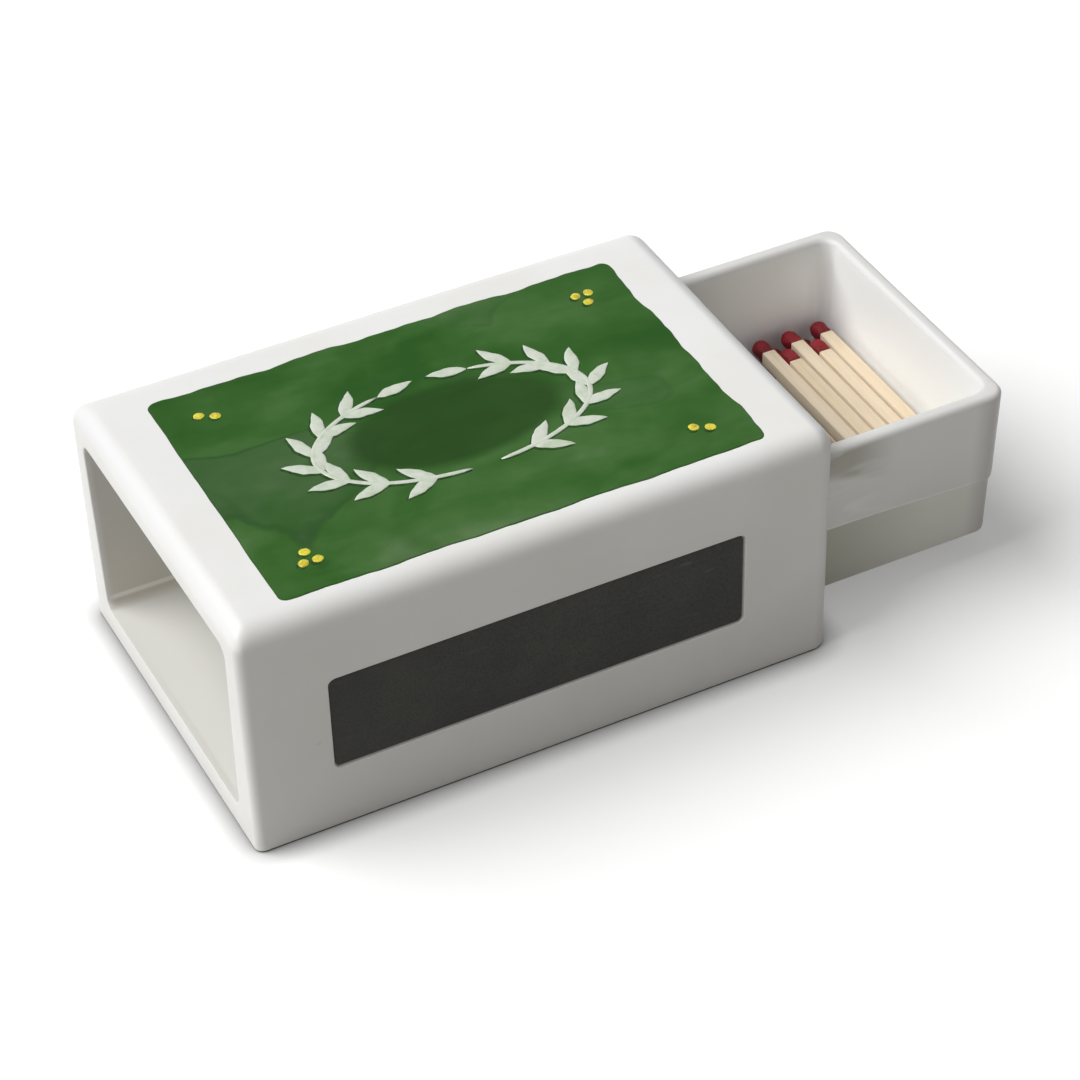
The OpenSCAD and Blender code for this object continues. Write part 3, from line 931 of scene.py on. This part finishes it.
colour = tint(fade(fibre, 0.52, 0.75) * 0.3, colour, wood_fibre)
dull = 0.55 + 0.2 * fibre
feed(surface, Base_Color=colour, Roughness=dull, Normal=relief(fibre + broad, 0.00008))
sticks = sorted(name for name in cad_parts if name.startswith("match_stick"))
for seed, name in enumerate(sticks):
    stick_low, stick_high = (np.array(corner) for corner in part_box(name))
    middle = (stick_low + stick_high) / 2
    half = (stick_high[0] - stick_low[0]) / 2 * stick_swell
    t = np.append(np.linspace(0, 0.9, 24), np.linspace(0.904, 1, 18))
    run = stick_low[1] + (stick_high[1] - stick_low[1]) * t
    blunt = stick_blunt * (1 - np.clip(np.minimum(t, 1 - t) * 160, 0, 1))
    held = 0.35 * np.clip((run - stick_high[1] + dip) / 0.0006, 0, 1)
    thick = half * (1 - held - 0.02 * np.abs(np.sin(5 * t + seed))) - blunt
    wide = half * (1 - held - 0.02 * np.abs(np.sin(4 * t + 2 * seed))) - blunt
    bowed = 0.00002 * np.sin(np.pi * t + seed)
    flat = loops(
        stick_trip,
        np.stack([wide, thick], -1),
        np.stack([middle[0] + bowed, middle[2] - bowed], -1),
        np.full((t.size, 4), stick_edge),
    )
    along = np.broadcast_to(run[:, None], flat.shape[:2])
    stick = skin(name.replace("match_", ""), [np.stack([flat[..., 0], along, flat[..., 1]], -1)])
    stick.data.materials.append(match_wood)
    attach(stick, "drawer_body")
    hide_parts(name)

# Each head is a dried dip of dark red compound: round at the tip, lumpy, and drawn out to a
# thin uneven skirt where it ends on the square stick.
head_fall = 0.36
head_share = 0.97
head_gap = 0.00002
skirt_half = 0.00131
head_red = (0.25, 0.005, 0.012, 1)
head_dark = (0.13, 0.003, 0.007, 1)
head_crust = (0.4, 0.04, 0.05, 1)
match_head, surface, place = finish("match_head", 0.62, Specular_IOR_Level=0.4)[:3]
crust = cloud(place, 2400, 3.0)
batch = cloud(place, 420, 2.0)
colour = tint(fade(batch, 0.35, 0.7), head_red, head_dark)
colour = tint(fade(crust, 0.56, 0.75) * 0.35, colour, head_crust)
dull = 0.5 + 0.25 * crust
feed(surface, Base_Color=colour, Roughness=dull, Normal=relief(crust + batch, 0.00012))
heads = sorted(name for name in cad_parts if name.startswith("match_head"))
for seed, name in enumerate(heads):
    head_low, head_high = (np.array(corner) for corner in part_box(name))
    middle = (head_low + head_high) / 2
    radius = (head_high[0] - head_low[0]) / 2 * head_share
    s = np.linspace(0.015, 1, 22)
    dome = np.sqrt(1 - np.clip(1 - s / head_fall, 0, 1) ** 2)
    neck = np.clip((s - head_fall) / (1 - head_fall), 0, 1)
    size = radius * dome * (1 - neck**1.6) + skirt_half * neck**1.6
    angle = np.linspace(0, 2 * np.pi, 28, endpoint=False)
    squareness = 1 - 0.66 * neck[:, None] ** 1.4
    ray_x = np.sign(np.cos(angle)) * np.abs(np.cos(angle)) ** squareness
    ray_z = np.sign(np.sin(angle)) * np.abs(np.sin(angle)) ** squareness
    lumps = 1 - 0.035 * (1 + np.sin(3 * angle + 2.1 * seed + 5 * s[:, None]))
    skirt = 0.00035 * neck[:, None] ** 3 * (0.5 + 0.5 * np.sin(2 * angle + 1.3 * seed))
    length = head_high[1] - head_low[1] - 2 * head_gap
    run = head_high[1] - head_gap - length * s[:, None] + skirt
    grid = np.stack([
        middle[0] + size[:, None] * ray_x * lumps,
        np.broadcast_to(run, lumps.shape),
        middle[2] + size[:, None] * ray_z * lumps,
    ], -1)
    head = skin(name.replace("match_", ""), [grid])
    head.data.materials.append(match_head)
    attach(head, "drawer_body")
    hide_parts(name)

# The floor is pale and takes the shadow, and a painted contact shadow darkens it close under
# the piece. It shows white to the camera and in reflections, partly as a white glow that lifts
# its shadow, and throws less light back on the piece than white would.
floor_half = 3.0
floor_z = -0.00005
floor_bounce = (0.47, 0.46, 0.43, 1)
floor_white = (1.1, 1.1, 1.1, 1)
shadow_lift = 0.27
contact_dark = 1.25
contact_reach = 0.0052
floor = bpy.data.objects.new("floor", bpy.data.meshes.new("floor"))
signs = ((-1, -1), (1, -1), (1, 1), (-1, 1))
corners = [(side * floor_half, end * floor_half, floor_z) for side, end in signs]
floor.data.from_pydata(corners, [], [(0, 1, 2, 3)])
bpy.context.scene.collection.objects.link(floor)
floor_paint = bpy.data.materials.new("floor_paint")
floor_paint.use_nodes = True
tree = floor_paint.node_tree
tree.nodes.remove(tree.nodes["Principled BSDF"])


def seen(tree):
    """1 for a ray from the camera or one that is reflected or refracted sharply, 0 for others."""
    start = Shade(tree)
    camera_ray, glossy, through = (
        start.node("ShaderNodeLightPath", out=kind)
        for kind in ("Is Camera Ray", "Is Glossy Ray", "Is Transmission Ray")
    )
    return camera_ray.maths("MAXIMUM", camera_ray, glossy.maths("MAXIMUM", glossy, through))


to_eye = seen(tree)
shown = tint(to_eye, floor_bounce, floor_white)
chalk = shown.node("ShaderNodeBsdfDiffuse", {}, {"Color": shown})
paper = shown.node("ShaderNodeEmission", {}, {"Color": (1, 1, 1, 1), "Strength": 1.0})
both = to_eye.node("ShaderNodeMixShader", {}, {0: to_eye * shadow_lift, 1: chalk, 2: paper})
# Painted contact shadow: black mixed in where the floor is hemmed in close under the piece.
dark = shown.node("ShaderNodeEmission", {}, {"Color": (0, 0, 0, 1)})
within_reach = {"Distance": contact_reach}
open_sky = shown.node("ShaderNodeAmbientOcclusion", {"samples": 16}, within_reach, out="AO")
near = contact_dark * (to_eye * (1 - open_sky))
both = near.node("ShaderNodeMixShader", {}, {0: near, 1: both, 2: dark})
tree.links.new(both.socket, tree.nodes["Material Output"].inputs["Surface"])
floor.data.materials.append(floor_paint)

# The light comes from behind and to the left, as from one large window, and the room around
# gives the rest.
window_from = Vector((-0.545, 0.254, 0.799))
window_energy = 3.24
window_degrees = 48
room_dim = 0.02
room_front = 0.265
room_left = 0.11

world = bpy.data.worlds.new("room")
world.use_nodes = True
bpy.context.scene.world = world
tree = world.node_tree
start = Shade(tree)
toward = start.node("ShaderNodeTexCoord", out="Generated")
east, north, up = (
    start.node("ShaderNodeSeparateXYZ", {}, {0: toward}, out=k) for k in range(3)
)
ahead = north.maths("MAXIMUM", -0.44 * east - 0.77 * north + 0.46 * up, 0.0)
to_left = east.maths("MAXIMUM", -1.0 * east, 0.0)
soft = room_dim + room_front * ahead + room_left * to_left
soft = soft.node("ShaderNodeCombineColor", {}, {0: soft, 1: soft * 0.995, 2: soft * 0.975})
shown = tint(seen(tree), soft, (1, 1, 1, 1))
tree.links.new(shown.socket, tree.nodes["Background"].inputs["Color"])

window = bpy.data.objects.new("window", bpy.data.lights.new("window", "SUN"))
window.matrix_world = window_from.to_track_quat("Z", "Y").to_matrix().to_4x4()
window.data.energy = window_energy
window.data.angle = np.radians(window_degrees)
bpy.context.scene.collection.objects.link(window)

bpy.context.scene.view_settings.view_transform = "Standard"
